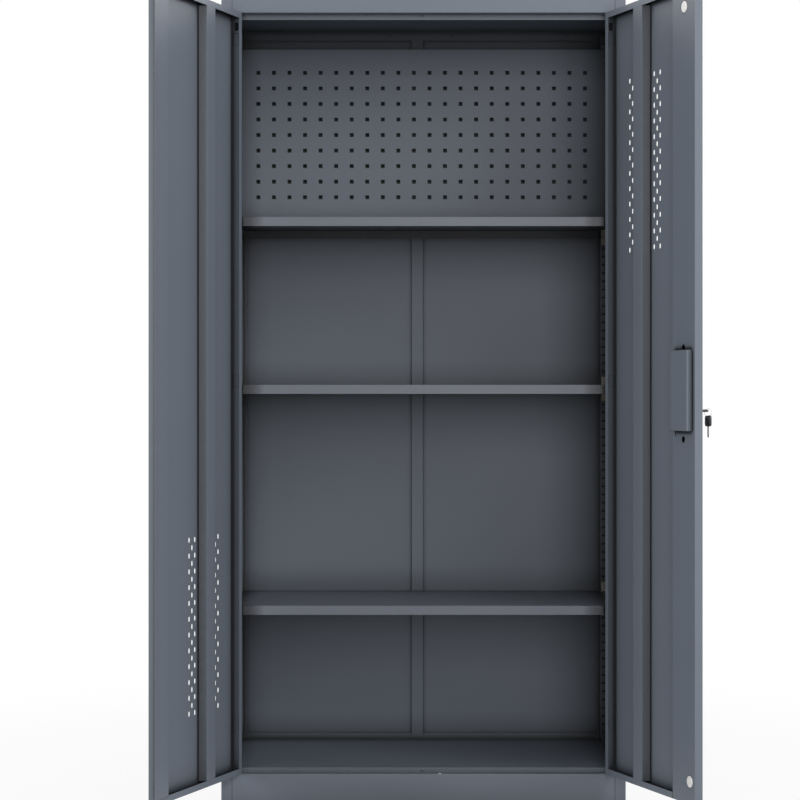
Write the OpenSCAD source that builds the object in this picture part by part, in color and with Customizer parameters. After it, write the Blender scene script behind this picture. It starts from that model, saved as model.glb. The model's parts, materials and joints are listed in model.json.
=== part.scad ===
// Two-door steel tool cabinet: pegboard back, three hung shelves, vented
// doors on three hinges each, and a key lock that drives two latch rods.
// Millimetres. X runs across the cabinet, Y from the doors to the back and
// Z up. The origin is the middle of the body's footprint, on the floor.

/* [Cabinet] */
// Overall width
cab_w = 914; // [740:1:1200]
// Depth of the body with the doors shut
cab_d = 457; // [370:1:650]
// Overall height
cab_h = 1822; // [1500:1:2200]
// Thickness of the sheet steel
sheet = 1; // [0.8:0.1:1.2]
// Width of the flange beside the door opening
side_flange = 25; // [22:1:40]
// Depth of the frame behind its front face
frame_d = 22; // [21.5:0.5:30]
// Height of the fascia over the doors
fascia_h = 33; // [26:1:70]
// Height of the kick plate under the doors
kick_h = 70; // [50:1:120]
// Height of the stop flanges that the doors close against
stop_h = 11; // [8:0.5:18]
// Depth of the pressed fields in the back panels
field_press = 3; // [2:0.5:6]
// Distance of the seam in the back from the middle of the cabinet
seam_shift = -10.45; // [-20:0.05:20]
// Width of the strip over that seam
seam_w = 28; // [20:1:40]
// Height of the rail across the top of the back
rail_h = 22; // [18:1:40]
// Radius of the wall-fixing holes in that rail
anchor_r = 3.5; // [2.5:0.1:4.5]
// Distance of the outer wall-fixing holes from the middle
anchor_outer = 356; // [200:1:400]
// Distance of the inner wall-fixing holes from the middle
anchor_inner = 76; // [40:1:150]

/* [Posts and shelves] */
// Width of a slotted post
post_w = 18; // [16:1:26]
// Depth of a slotted post
post_d = 27; // [20:1:40]
// Distance between slots, centre to centre
slot_pitch = 20.1; // [16:0.1:30]
// Width of a slot
slot_w = 11.5; // [10:0.5:13]
// Height of a slot
slot_h = 4.5; // [3.5:0.5:6]
// Height of a shelf's folded lips
lip_h = 20.9; // [15:0.1:35]
// Slots from the upper shelf down to the middle one
middle_drop = 19; // [10:1:24]
// Slots from the middle shelf down to the lower one
lower_drop = 25; // [10:1:28]
// Width of a shelf clip
clip_w = 13; // [11:0.5:14]

/* [Pegboard] */
// Height of the pegboard
peg_h = 419; // [250:1:480]
// Distance between holes, centre to centre
peg_pitch = 38.1; // [25:0.1:60]
// Side of a square hole
peg_hole = 9.5; // [6:0.1:14]
// Distance of the pegboard's top edge from the top of the cabinet
peg_drop = 49; // [45:1:120]

/* [Doors] */
// Angle at which both doors stand open
door_angle = 110.3; // [0:0.1:170]
// Depth of a door
door_d = 19; // [17:0.5:20]
// Gap over and under a door
door_gap = 2; // [1.5:0.5:4]
// Gap between the two doors
meeting_gap = 2; // [1.5:0.5:4]
// Width of the lips folded along a door's two ends
door_lip = 13.5; // [10:0.5:20]
// Width of the boxed edge along a door's hinges
hinge_edge = 14.5; // [12:0.5:18]
// Width of the flange along the left door's free edge
left_flange_w = 55; // [40:1:70]
// Width of the boxed stile along the right door's free edge
stile_w = 101; // [98:1:120]
// Distance of the stiffener from the hinge axis
rib_u = 141; // [135:1:150]
// Width of the stiffener's crown
rib_w = 44; // [30:1:50]
// Distance that each wall of the stiffener slopes outward
rib_slope = 9; // [0:0.5:10]
// Width of a ventilation slot
vent_w = 7; // [4:0.5:8]
// Height of a ventilation slot
vent_h = 11.5; // [9:0.5:16]
// Distance between ventilation slots along a column
vent_pitch = 34.1; // [20:0.1:40]
// Distance between the columns
vent_column = 14.2; // [8:0.1:16]
// Slots in the longest columns
vent_count = 12; // [4:1:14]
// Distance from a door's end to the middle of its slots
vent_from_end = 352.5; // [260:0.5:450]

/* [Hinges] */
// Height of a hinge
hinge_h = 25; // [20:1:60]
// Outer radius of a hinge barrel
barrel_r = 3.5; // [3:0.1:3.6]
// Radius of a hinge pin
pin_r = 2; // [1.5:0.1:2.2]
// Distance of the lowest hinge from the door's bottom
hinge_low = 115; // [60:1:250]
// Distance of the highest hinge from the door's top
hinge_high = 62; // [50:1:250]

/* [Lock and handle] */
// Distance of the handle and lock from the right door's free edge
lock_a = 51; // [48:0.5:56]
// Drop of the lock below the handle's middle
lock_drop = 37.5; // [36:0.5:40]
// Height of the handle plate
plate_h = 215; // [200:1:240]
// Width of the handle plate
plate_w = 56; // [50:1:60]
// Height of the cover box behind the handle
box_h = 169.4; // [160:0.1:180]
// Width of the cover box
box_w = 75.8; // [60:0.1:80]
// Depth of the cover box
box_d = 12; // [9:0.5:16]
// Radius of a latch rod
rod_r = 3; // [2.5:0.1:3.5]
// Travel of a latch rod
rod_travel = 15; // [10:0.5:16]
// Radius of the plug that the key turns
plug_r = 7; // [6:0.1:7.5]

/* [Hidden] */

paint = [0.42, 0.44, 0.47];
shelf_paint = [0.45, 0.47, 0.50];
zinc = [0.72, 0.74, 0.76];
dull_zinc = [0.46, 0.45, 0.40];
steel = [0.62, 0.63, 0.65];
nickel = [0.52, 0.51, 0.50];
black_plastic = [0.08, 0.08, 0.09];
white_plastic = [0.90, 0.90, 0.88];

// Bends are drawn with short flats, on the middle of the sheet.
bend_r = 1.5 * sheet;
bend_steps = 4;
round_fn = 40;
over = 1;

// Frame and body
half_w = cab_w / 2;
inner_half = half_w - sheet;
open_half = half_w - side_flange;
roof_z = cab_h - sheet;
head_z = cab_h - fascia_h;
floor_z = kick_h + stop_h;
rear_flange = 13;
tuck = 15;
floor_lip_down = 2;
edge_relief = bend_r + sheet;

// Rivets that the doors come to rest against
stop_inset = 25;
stop_places = [-open_half + stop_inset, -2, open_half - stop_inset];
top_stop_z = head_z - 5.4;
low_stop_x = -2;
low_stop_z = kick_h + 6;
rivet_r = 3.8;
rivet_crown_r = 2.9;
rivet_h = 1.6;
rivet_shank_r = 2;
rivet_hole_r = 2.1;

// Back: the rims stand forward of the pressed fields.
field_back = cab_d - sheet;
rim_y = field_back - sheet - field_press;
panel_half = inner_half - edge_relief;
field_left = -open_half + 3;
field_right = open_half + 1;
field_top = roof_z - rail_h;
field_bottom = floor_z + 14;
field_r = 2.5;
rail_y = rim_y - sheet;
anchor_z = roof_z - 7;

// Posts stand on the floor and stop short of the roof's folded edges.
post_in = inner_half - post_w;
rear_post_y = rim_y - post_d;
front_post_y = frame_d + 4;
front_post_d = 19;
front_face_y = front_post_y + front_post_d;
post_top = roof_z - tuck - 1;
slot_x = post_in + 2.5;
slot_first = floor_z + 19;
slot_last = post_top - 12;
slot_count = floor((slot_last - slot_first) / slot_pitch) + 1;

// Pegboard, screwed to the faces of the rear posts
peg_top = cab_h - peg_drop;
peg_bottom = peg_top - peg_h;
peg_y = rear_post_y - sheet;
peg_half = inner_half - 6;
peg_margin = 45;
peg_columns = floor((2 * peg_half - 2 * peg_margin) / peg_pitch) + 1;
peg_rows = floor((peg_h - 2 * peg_margin) / peg_pitch) + 1;
peg_fold = 20;
peg_fold_half = post_in - 2;
screw_r = 2;
screw_gap = 0.2;
screw_head_r = 4.2;
screw_head_h = 2;
peg_screw_l = 9;

// Shelves hang from clips at whole slots, the upper one under the pegboard.
shelf_rise = 4.9;
clip_up = 22.5;
clip_down = 37;
clip_t = 1.2;
peg_clip_gap = 0.3;
highest_shelf = peg_bottom - clip_up - peg_clip_gap;
upper_slot = floor((highest_shelf - shelf_rise - slot_first) / slot_pitch);
middle_slot = upper_slot - middle_drop;
lower_slot = middle_slot - lower_drop;
shelf_clear = 3;
shelf_front = door_d + box_d + shelf_clear;
shelf_back = rear_post_y + 8;
shelf_half = inner_half - 6;
shelf_front_half = post_in - 27;
shelf_back_half = post_in - 4;
notch_front = front_face_y + 3;
notch_back = rear_post_y - 5;
ledge_d = 18;
hook_d = 5;
hook_w = slot_w - 1;
hook_h = slot_h - 1;
peg_screw_x = slot_x + slot_w / 2;
peg_screw_slots = [upper_slot + 3, floor((peg_top - 20 - slot_first) / slot_pitch)];

// Doors: u runs from the hinge axis to the free edge, v into the cabinet.
hinge_gap = 3;
axis_y = -4;
hinge_x = open_half - hinge_gap / 2;
leaf_t = 1.2;
door_u0 = hinge_gap / 2;
door_u1 = hinge_x - meeting_gap / 2;
door_w = door_u1 - door_u0;
door_z0 = kick_h + door_gap;
door_z1 = head_z - door_gap;
door_h = door_z1 - door_z0;
door_mid = (door_z0 + door_z1) / 2;
lip_v = door_d - sheet;
skin_r = 2;
rib_foot = 10;
vent_u = rib_u + rib_w / 2 - 0.7;
vent_side = 59.5;
edge_u = door_u0 + hinge_edge;
hang_hole_w = 9.6;
hang_hole_h = 19.4;
hang_hole_v = 12.2;
hang_hole_drop = 33.5;
strip_inset = 12;
strip_back = 1.5;
tongue = 10.5;
joggle = 3;

// Hinges
leaf_d = 16;
leaf_front = 0.5;
knuckle_gap = 0.25;
knuckle_h = (hinge_h - 2 * knuckle_gap) / 3;
frame_fit = 0.02;
door_fit = 0.06;
pin_head_r = pin_r + 1;
pin_head_h = 1;
block_h = hinge_h + 2;
block_gap = 0.4;
hinge_z = [door_z0 + hinge_low, (door_z0 + hinge_low + door_z1 - hinge_high) / 2,
           door_z1 - hinge_high];

// Handle: its face plate, the finger cup and the cover over its back
handle_z = door_mid - 1.5;
handle_screw_z = plate_h / 2 - 11.5;
plate_out = 3;
plate_corner = 6;
lock_u = door_u1 - lock_a;
lock_z = door_mid - lock_drop;
cup_half = 22;
cup_low = lock_z + 13;
cup_high = cup_low + 95;
cup_wall = 1.5;
cup_depth = door_d + box_d - 5;
cut_gap = 0.5;
box_u = door_u1 - 12.6 - box_w;
box_z = door_mid - box_h / 2 + 4.8;
box_r = 3;
access_r = 7;
screw_pocket = 0.8 - plate_out;
slit_a = 88;
slit_w = 3;
slit_h = 10;
slit_z = box_z - 11;

// Lock: its barrel, the plug and the cam that moves the two rods
barrel_body_r = plug_r + 2.5;
barrel_end = 10.5;
collar_r = barrel_body_r + 2.5;
collar_h = 2;
barrel_front = -plate_out - collar_h;
bore_gap = 0.06;
nut_gap = 0.05;
nut_h = 4;
nut_r = barrel_body_r + 3.2;
stub_r = 3.5;
stub_gap = 0.02;
hub_r = stub_r + 3;
cam_v = barrel_end + 3.3;
cam_t = 2;
cam_arm = rod_travel / 2 / sin(45);
cam_end_r = 3;
cam_screw_r = stub_r + 1.5;
cam_screw_h = 1.6;
foot_v = barrel_end + 0.9;
foot_t = 1.5;
foot_half = 4;
foot_reach = 8;
rod_v = 10;
upper_rod_a = lock_a + 30;
lower_rod_a = lock_a - 15;
rod_hole_r = rod_r + 0.3;
strike_r = 5;

// White caps on the stile, as distances from the free edge and heights
cap_r = 12.25;
cap_crown_r = 11.25;
cap_rim = 1.3;
cap_h = 2.2;
cap_places = [[46, door_z1 - 50], [21.7, door_z0 + 48]];

// Keys
head_l = 23.5;
head_w = 22;
head_t = 5.5;
head_r = 6;
head_gap = 8;
ring_hole_r = 3.5;
ring_hole_x = head_l - 4.5;
blade_w = 6;
blade_t = 1.6;
blade_fit = 0.1;
key_v = barrel_front - head_gap;
blade_in = 21.5;
keyway_end = barrel_end - 1;
spare_blade_w = 5;
spare_blade_l = 23;
ring_r = 8.4;
wire_r = 0.6;
ring_v = key_v - ring_hole_x - 7.5;
ring_z = lock_z - 3.5;
ring_play = 0.6;
spare_hole_z = ring_z - ring_r - ring_hole_r + wire_r + ring_play;

// ---- Sheet metal ----------------------------------------------------

function unit(v) = v / norm(v);
function left_of(v) = [-v.y, v.x];
function swing(v, a) = [v.x * cos(a) - v.y * sin(a), v.x * sin(a) + v.y * cos(a)];
function run(p, i) = unit(p[i + 1] - p[i]);
function turn(p, i) = atan2(cross(run(p, i - 1), run(p, i)), run(p, i - 1) * run(p, i));

// The bend at one corner of a path, as an arc from tangent to tangent
function bend_at(p, i) =
  let (
    a = turn(p, i),
    start = p[i] - run(p, i - 1) * bend_r * tan(abs(a) / 2),
    hub = start + left_of(run(p, i - 1)) * sign(a) * bend_r
  )
  [for (k = [0:bend_steps]) hub + swing(start - hub, a * k / bend_steps)];

function bent(p) = [p[0], for (i = [1:len(p) - 2]) each bend_at(p, i), p[len(p) - 1]];

// The step to a sheet's face at one point, square to the path there
function face_step(p, i) =
  let (m = left_of(run(p, max(i - 1, 0))) + left_of(run(p, min(i, len(p) - 2))))
  m * 2 / (m * m);

// Section of a sheet folded along the path of its middle
module folded(path, t = sheet) {
  p = bent(path);
  last = len(p) - 1;
  polygon([
    for (i = [0:last]) p[i] + face_step(p, i) * t / 2,
    for (i = [last:-1:0]) p[i] - face_step(p, i) * t / 2
  ]);
}

// Extrusions: a plan section upwards, and a side section across
module upright(z0, z1) {
  translate([0, 0, z0])
    linear_extrude(z1 - z0) children();
}

module across(x0, x1) {
  translate([x0, 0, 0])
    rotate([90, 0, 90])
      linear_extrude(x1 - x0) children();
}

// Outline of a block's section with its two front corners rounded
function front_points(w, d, r) = [
  [0, d],
  for (k = [0:bend_steps]) [r - r * cos(90 * k / bend_steps), r - r * sin(90 * k / bend_steps)],
  for (k = [0:bend_steps]) [w - r + r * sin(90 * k / bend_steps), r - r * cos(90 * k / bend_steps)],
  [w, d]
];

// Block with the four edges of its front face rounded
module soft_block(w, d, h, r) {
  intersection() {
    linear_extrude(h) polygon(front_points(w, d, r));
    rotate([90, 0, 90])
      linear_extrude(w) polygon([for (p = front_points(h, d, r)) [p.y, p.x]]);
  }
}

// Shallow pan of sheet, open at the back
module pan(w, d, h, r) {
  difference() {
    soft_block(w, d, h, r);
    translate([sheet, sheet, sheet])
      soft_block(w - 2 * sheet, d, h - 2 * sheet, r - sheet);
  }
}

// Slot with round ends, standing upright in the drawing plane
module obround(w, h) {
  square([w, h - w], center = true);
  for (end = [-1, 1])
    translate([0, end * (h - w) / 2])
      circle(d = w, $fn = round_fn);
}

// A plate in the XZ plane, from y to y + t
module wall_plate(y, t) {
  translate([0, y + t, 0])
    rotate([90, 0, 0])
      linear_extrude(t) children();
}

// Round bar or hole along Y, from y0 to y1
module bar_y(x, z, y0, y1, r) {
  translate([x, y0, z])
    rotate([-90, 0, 0])
      cylinder(h = y1 - y0, r = r, $fn = round_fn);
}

module placed() {
  translate([0, -cab_d / 2, 0]) children();
}

module right_half() {
  mirror([1, 0, 0]) children();
}

// ---- Body -----------------------------------------------------------

// Side with its front flange, the frame return and a rear flange (left)
module side_panel() {
  color(paint)
    upright(0, roof_z)
      folded([
        [-open_half - sheet / 2, frame_d],
        [-open_half - sheet / 2, sheet / 2],
        [-half_w + sheet / 2, sheet / 2],
        [-half_w + sheet / 2, cab_d - sheet / 2],
        [-half_w + rear_flange, cab_d - sheet / 2]
      ]);
}

module left_side_panel() {
  placed() side_panel();
}

module right_side_panel() {
  placed() right_half() side_panel();
}

// Roof sheet with edges turned down inside the sides
module top_panel() {
  fold_y0 = front_face_y;
  fold_l = rear_post_y - fold_y0;
  placed() color(paint) {
    translate([-half_w, 0, roof_z]) cube([cab_w, cab_d, sheet]);
    for (side = [0, 1])
      mirror([side, 0, 0])
        translate([-inner_half, fold_y0, roof_z - tuck])
          cube([sheet, fold_l, tuck + sheet]);
  }
}

// Fascia, the ledge behind it and the stop that hangs from the ledge
module top_header() {
  ledge = head_z + sheet / 2;
  stop_y = frame_d + sheet / 2;
  placed() color(paint)
    difference() {
      across(-open_half, open_half)
        folded([
          [stop_y, head_z - stop_h - sheet],
          [stop_y, ledge],
          [sheet / 2, ledge],
          [sheet / 2, roof_z - sheet / 2],
          [tuck, roof_z - sheet / 2]
        ]);
      translate([hinge_x - door_u1 + upper_rod_a, rod_v, head_z - over])
        cylinder(h = sheet + 2 * over, r = strike_r, $fn = round_fn);
      for (x = stop_places)
        bar_y(x, top_stop_z, frame_d - over, frame_d + sheet + over, rivet_hole_r);
    }
}

// Kick plate, the ledge behind it and the stop that stands on the ledge
module kick_plate() {
  ledge = kick_h - sheet / 2;
  stop_y = frame_d + sheet / 2;
  placed() color(paint)
    difference() {
      across(-open_half, open_half)
        folded([
          [tuck, sheet / 2],
          [sheet / 2, sheet / 2],
          [sheet / 2, ledge],
          [stop_y, ledge],
          [stop_y, floor_z - sheet]
        ]);
      translate([hinge_x - door_u1 + lower_rod_a, rod_v, kick_h - sheet - over])
        cylinder(h = sheet + 2 * over, r = strike_r, $fn = round_fn);
      bar_y(low_stop_x, low_stop_z, frame_d - over, frame_d + sheet + over, rivet_hole_r);
    }
}

// Floor sheet with all four edges turned down
module floor_panel() {
  y0 = frame_d;
  placed() color(paint)
    difference() {
      union() {
        translate([-inner_half, y0, floor_z - sheet])
          cube([2 * inner_half, rim_y - y0, sheet]);
        translate([-open_half, y0 + sheet, kick_h - floor_lip_down])
          cube([2 * open_half, sheet, stop_h + floor_lip_down]);
        translate([-inner_half, rim_y - sheet, floor_z - tuck])
          cube([2 * inner_half, sheet, tuck]);
        for (side = [0, 1])
          mirror([side, 0, 0])
            translate([-inner_half, y0, floor_z - tuck])
              cube([sheet, rim_y - y0, tuck]);
      }
      bar_y(low_stop_x, low_stop_z, y0, y0 + 3 * sheet, rivet_hole_r);
    }
}

// Button-headed rivet that a door comes to rest against
module stop_rivet(x, z) {
  bar_y(x, z, frame_d - rivet_h / 2, frame_d, rivet_r);
  bar_y(x, z, frame_d - rivet_h, frame_d - rivet_h / 2, rivet_crown_r);
  bar_y(x, z, frame_d, frame_d + 3 * sheet, rivet_shank_r);
}

module stop_rivets() {
  placed() color(paint) {
    for (x = stop_places) stop_rivet(x, top_stop_z);
    stop_rivet(low_stop_x, low_stop_z);
  }
}

// One back panel from x0 to x1, its field pressed backward between f0 and f1
module back_panel(x0, x1, f0, f1) {
  field_h = field_top - field_bottom;
  placed() color(paint)
    difference() {
      union() {
        translate([x0, rim_y, 0]) cube([x1 - x0, sheet, roof_z]);
        translate([f1 + sheet, field_back, field_bottom - sheet])
          rotate([0, 0, 180])
            soft_block(f1 - f0 + 2 * sheet, field_press + sheet, field_h + 2 * sheet, field_r);
      }
      translate([f1, field_back - sheet, field_bottom])
        rotate([0, 0, 180])
          soft_block(f1 - f0, field_press + sheet + over, field_h, field_r - sheet);
    }
}

module back_panel_left() {
  back_panel(-panel_half, seam_shift, field_left, seam_shift - seam_w / 2);
}

module back_panel_right() {
  back_panel(seam_shift, panel_half, seam_shift + seam_w / 2, field_right);
}

module back_seam_strip() {
  placed() color(paint)
    translate([seam_shift - seam_w / 2, rail_y, floor_z])
      cube([seam_w, sheet, roof_z - rail_h - floor_z]);
}

// Rail with wall-fixing holes; the back panels close them from behind
module back_top_rail() {
  placed() color(paint)
    wall_plate(rail_y, sheet)
      difference() {
        translate([-post_in, roof_z - rail_h]) square([2 * post_in, rail_h]);
        for (x = [-anchor_outer, -anchor_inner, anchor_inner, anchor_outer])
          translate([x, anchor_z]) circle(r = anchor_r, $fn = round_fn);
      }
}

// ---- Posts, pegboard and shelves ------------------------------------

function slot_z(k) = slot_first + k * slot_pitch;

// Channel post with a slotted face (left side); the face is at face_y and
// the channel's walls run from it towards the far end
module slotted_post(face_y, far_y) {
  near = face_y + sign(far_y - face_y) * sheet / 2;
  color(paint)
    difference() {
      upright(floor_z, post_top)
        folded([
          [-post_in - sheet / 2, far_y],
          [-post_in - sheet / 2, near],
          [-inner_half + sheet / 2, near],
          [-inner_half + sheet / 2, far_y]
        ]);
      for (k = [0:slot_count - 1])
        translate([-slot_x - slot_w, near - sheet, slot_z(k) - slot_h / 2])
          cube([slot_w, 2 * sheet, slot_h]);
    }
}

module front_post_left() {
  placed() slotted_post(front_face_y, front_post_y);
}

module front_post_right() {
  placed() right_half() slotted_post(front_face_y, front_post_y);
}

module rear_post_left() {
  placed() slotted_post(rear_post_y, rim_y);
}

module rear_post_right() {
  placed() right_half() slotted_post(rear_post_y, rim_y);
}

module pegboard() {
  placed() color(paint) {
    wall_plate(peg_y, sheet)
      difference() {
        translate([-peg_half, peg_bottom]) square([2 * peg_half, peg_h]);
        for (i = [0:peg_columns - 1], j = [0:peg_rows - 1])
          translate([
            (i - (peg_columns - 1) / 2) * peg_pitch,
            (peg_bottom + peg_top) / 2 + (j - (peg_rows - 1) / 2) * peg_pitch
          ])
            square(peg_hole, center = true);
        for (x = [-peg_screw_x, peg_screw_x], k = peg_screw_slots)
          translate([x, slot_z(k)]) circle(r = screw_r + screw_gap, $fn = round_fn);
      }
    translate([-peg_fold_half, peg_y, peg_top - sheet])
      cube([2 * peg_fold_half, peg_fold, sheet]);
  }
}

module pegboard_screws() {
  placed() color(paint)
    for (x = [-peg_screw_x, peg_screw_x], k = peg_screw_slots) {
      bar_y(x, slot_z(k), peg_y - screw_head_h, peg_y, screw_head_r);
      bar_y(x, slot_z(k), peg_y, peg_y + peg_screw_l, screw_r);
    }
}

// Plan of a shelf, inset all round, with its corners cut round the posts
module shelf_plan(inset) {
  front = shelf_front + inset;
  back = shelf_back - inset;
  half = shelf_half - inset;
  fh = shelf_front_half - inset;
  bh = shelf_back_half - inset;
  polygon([
    [-fh, front], [fh, front],
    [fh, notch_front + inset], [half, notch_front + inset],
    [half, notch_back - inset], [bh, notch_back - inset],
    [bh, back], [-bh, back],
    [-bh, notch_back - inset], [-half, notch_back - inset],
    [-half, notch_front + inset], [-fh, notch_front + inset]
  ]);
}

// Shelf with a lip folded down on its four sides and open corners
module shelf(k) {
  top = slot_z(k) + shelf_rise;
  cut_h = lip_h - sheet + over;
  front_cut = shelf_half - shelf_front_half + sheet + over;
  back_cut = shelf_half - shelf_back_half + sheet + over;
  placed() color(shelf_paint)
    difference() {
      upright(top - lip_h, top) shelf_plan(0);
      upright(top - lip_h - over, top - sheet) shelf_plan(sheet);
      for (x = [-shelf_half - over, shelf_front_half - sheet])
        translate([x, notch_front - over, top - lip_h - over])
          cube([front_cut, 2 * over + sheet, cut_h]);
      for (x = [-shelf_half - over, shelf_back_half - sheet])
        translate([x, notch_back - sheet - over, top - lip_h - over])
          cube([back_cut, 2 * over + sheet, cut_h]);
    }
}

module shelf_upper() {
  shelf(upper_slot);
}

module shelf_middle() {
  shelf(middle_slot);
}

module shelf_lower() {
  shelf(lower_slot);
}

// Clip hooked into two slots; ahead is +1 where the shelf lies toward +Y
module shelf_clip(face_y, ahead, k) {
  top = slot_z(k) + shelf_rise;
  x = -slot_x - slot_w / 2 - clip_w / 2;
  mirror([0, ahead > 0 ? 0 : 1, 0])
    translate([x, ahead * face_y, 0]) {
      translate([0, 0, top - clip_down]) cube([clip_w, clip_t, clip_up + clip_down]);
      translate([0, 0, top - lip_h - clip_t]) cube([clip_w, ledge_d, clip_t]);
      for (z = [slot_z(k - 1), slot_z(k)])
        translate([(clip_w - hook_w) / 2, -hook_d, z - hook_h / 2])
          cube([hook_w, hook_d + clip_t / 2, hook_h]);
    }
}

module shelf_clips() {
  placed() color(dull_zinc)
    for (side = [0, 1], k = [upper_slot, middle_slot, lower_slot])
      mirror([side, 0, 0]) {
        shelf_clip(front_face_y, 1, k);
        shelf_clip(rear_post_y, -1, k);
      }
}

// ---- Doors ----------------------------------------------------------

// A door drawn shut in u, v and z, hung on its axis and swung open
module left_hung(angle = door_angle) {
  placed()
    translate([-hinge_x, axis_y, 0])
      rotate([0, 0, -angle])
        translate([0, -axis_y, 0]) children();
}

module right_hung(angle = door_angle) {
  placed() right_half()
    translate([-hinge_x, axis_y, 0])
      rotate([0, 0, -angle])
        translate([0, -axis_y, 0]) children();
}

// Three staggered columns of slots on each side of the stiffener
module vents(z) {
  for (side = [-1, 1], column = [-1, 0, 1]) {
    count = vent_count - (column == 0 ? 1 : 0);
    for (i = [0:count - 1])
      translate([
        vent_u + side * vent_side + column * vent_column,
        z + (i - (count - 1) / 2) * vent_pitch
      ])
        obround(vent_w, vent_h);
  }
}

// Pan of a door with its lips; flange_w is the fold at the free edge. The
// hinge edge is folded into a box, notched at each hinge.
module door_pan(vent_z, flange_w) {
  end_lip_l = door_w - (flange_w > 0 ? 0 : stile_w);
  difference() {
    union() {
      translate([door_u0, 0, door_z0]) pan(door_w, door_d, door_h, skin_r);
      translate([door_u0, lip_v, door_z0]) cube([hinge_edge, sheet, door_h]);
      translate([edge_u - sheet, sheet, door_z0 + sheet])
        cube([sheet, door_d - sheet, door_h - 2 * sheet]);
      for (z = [door_z0, door_z1 - door_lip])
        translate([door_u0, lip_v, z]) cube([end_lip_l, sheet, door_lip]);
      if (flange_w > 0)
        translate([door_u1 - flange_w, lip_v, door_z0]) cube([flange_w, sheet, door_h]);
    }
    wall_plate(-over, sheet + 2 * over) vents(vent_z);
    translate([edge_u - sheet - over, hang_hole_v, door_z1 - hang_hole_drop])
      rotate([90, 0, 90])
        linear_extrude(sheet + 2 * over) obround(hang_hole_w, hang_hole_h);
    for (z = hinge_z)
      translate([edge_u - sheet - over, sheet, z - block_h / 2 - block_gap])
        cube([sheet + 2 * over, lip_v - sheet, block_h + 2 * block_gap]);
  }
}

module left_door_panel() {
  color(paint) left_hung()
    door_pan(door_z0 + vent_from_end, left_flange_w);
}

module right_door_panel() {
  color(paint) right_hung()
    difference() {
      door_pan(door_z1 - vent_from_end, 0);
      translate([lock_u - cup_half - cut_gap, -over, cup_low - cut_gap])
        cube([2 * (cup_half + cut_gap), sheet + 2 * over, cup_high - cup_low + 2 * cut_gap]);
      bar_y(lock_u, lock_z, -over, sheet + over, barrel_body_r + screw_gap);
      for (end = [-1, 1])
        bar_y(lock_u, handle_z + end * handle_screw_z, -over, sheet + over, screw_r + screw_gap);
      translate([door_u1 - upper_rod_a, rod_v, door_z1 - sheet - over])
        cylinder(h = sheet + 2 * over, r = rod_hole_r, $fn = round_fn);
      translate([door_u1 - lower_rod_a, rod_v, door_z0 - over])
        cylinder(h = sheet + 2 * over, r = rod_hole_r, $fn = round_fn);
    }
}

// Hat-shaped stiffener between the end lips, its feet turned inward
module stiffener() {
  foot_v_mid = 1.5 * sheet;
  crown_v = door_d - sheet / 2;
  near = rib_u + sheet / 2;
  far = rib_u + rib_w - sheet / 2;
  color(paint)
    upright(door_z0 + door_lip, door_z1 - door_lip)
      folded([
        [near - rib_slope + rib_foot, foot_v_mid],
        [near - rib_slope, foot_v_mid],
        [near, crown_v],
        [far, crown_v],
        [far + rib_slope, foot_v_mid],
        [far + rib_slope - rib_foot, foot_v_mid]
      ]);
}

module left_door_stiffener() {
  left_hung() stiffener();
}

module right_door_stiffener() {
  right_hung() stiffener();
}

// Strip on the left door's flange; its tongue covers the meeting gap
module left_door_edge_strip() {
  on_flange = door_d + sheet / 2;
  color(paint) left_hung()
    upright(door_z0 + strip_inset, door_z1 - strip_inset)
      folded([
        [door_u1 - left_flange_w, on_flange],
        [door_u1 - strip_back, on_flange],
        [door_u1 - strip_back + joggle, on_flange + sheet],
        [door_u1 + tongue, on_flange + sheet]
      ]);
}

// Boxed stile that the lock, the handle and the rods are housed in
module right_door_lock_stile() {
  wall_u = door_u1 - stile_w + sheet / 2;
  color(paint) right_hung()
    difference() {
      upright(door_z0 + sheet, door_z1 - sheet)
        folded([
          [wall_u + rib_foot, 1.5 * sheet],
          [wall_u, 1.5 * sheet],
          [wall_u, door_d - sheet / 2],
          [door_u1 - sheet, door_d - sheet / 2]
        ]);
      translate([lock_u - cup_half - cut_gap, door_d - 2 * sheet, cup_low - cut_gap])
        cube([2 * (cup_half + cut_gap), 3 * sheet, cup_high - cup_low + 2 * cut_gap]);
      for (end = [-1, 1])
        bar_y(lock_u, handle_z + end * handle_screw_z, door_d - 2 * sheet, door_d + over, access_r);
      translate([door_u1 - slit_a, door_d - 2 * sheet, slit_z])
        cube([slit_w, 3 * sheet, slit_h]);
    }
}

// White caps pressed on the stile near its two ends
module stile_plugs() {
  color(white_plastic) right_hung()
    for (place = cap_places) {
      bar_y(door_u1 - place[0], place[1], door_d, door_d + cap_rim, cap_r);
      bar_y(door_u1 - place[0], place[1], door_d + cap_rim, door_d + cap_h, cap_crown_r);
    }
}

// ---- Hinges ---------------------------------------------------------

// One leaf with its knuckles, in u, v and z; side is -1 for the frame's
// leaf and 1 for the door's
module hinge_leaf(z, side, knuckles, bore_r) {
  inner = hinge_gap / 2 - leaf_t;
  u = side < 0 ? -hinge_gap / 2 : inner;
  difference() {
    union() {
      translate([u, leaf_front, z - hinge_h / 2]) cube([leaf_t, leaf_d - leaf_front, hinge_h]);
      for (k = knuckles) {
        kz = z - hinge_h / 2 + k * (knuckle_h + knuckle_gap);
        translate([0, axis_y, kz]) cylinder(h = knuckle_h, r = barrel_r, $fn = round_fn);
        translate([u, axis_y, kz]) cube([leaf_t, leaf_front - axis_y + over, knuckle_h]);
      }
    }
    translate([0, axis_y, z - hinge_h / 2 - over])
      cylinder(h = hinge_h + 2 * over, r = bore_r, $fn = round_fn);
  }
}

module frame_leaves() {
  color(paint)
    for (z = hinge_z) hinge_leaf(z, -1, [0, 2], pin_r + frame_fit);
}

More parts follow.
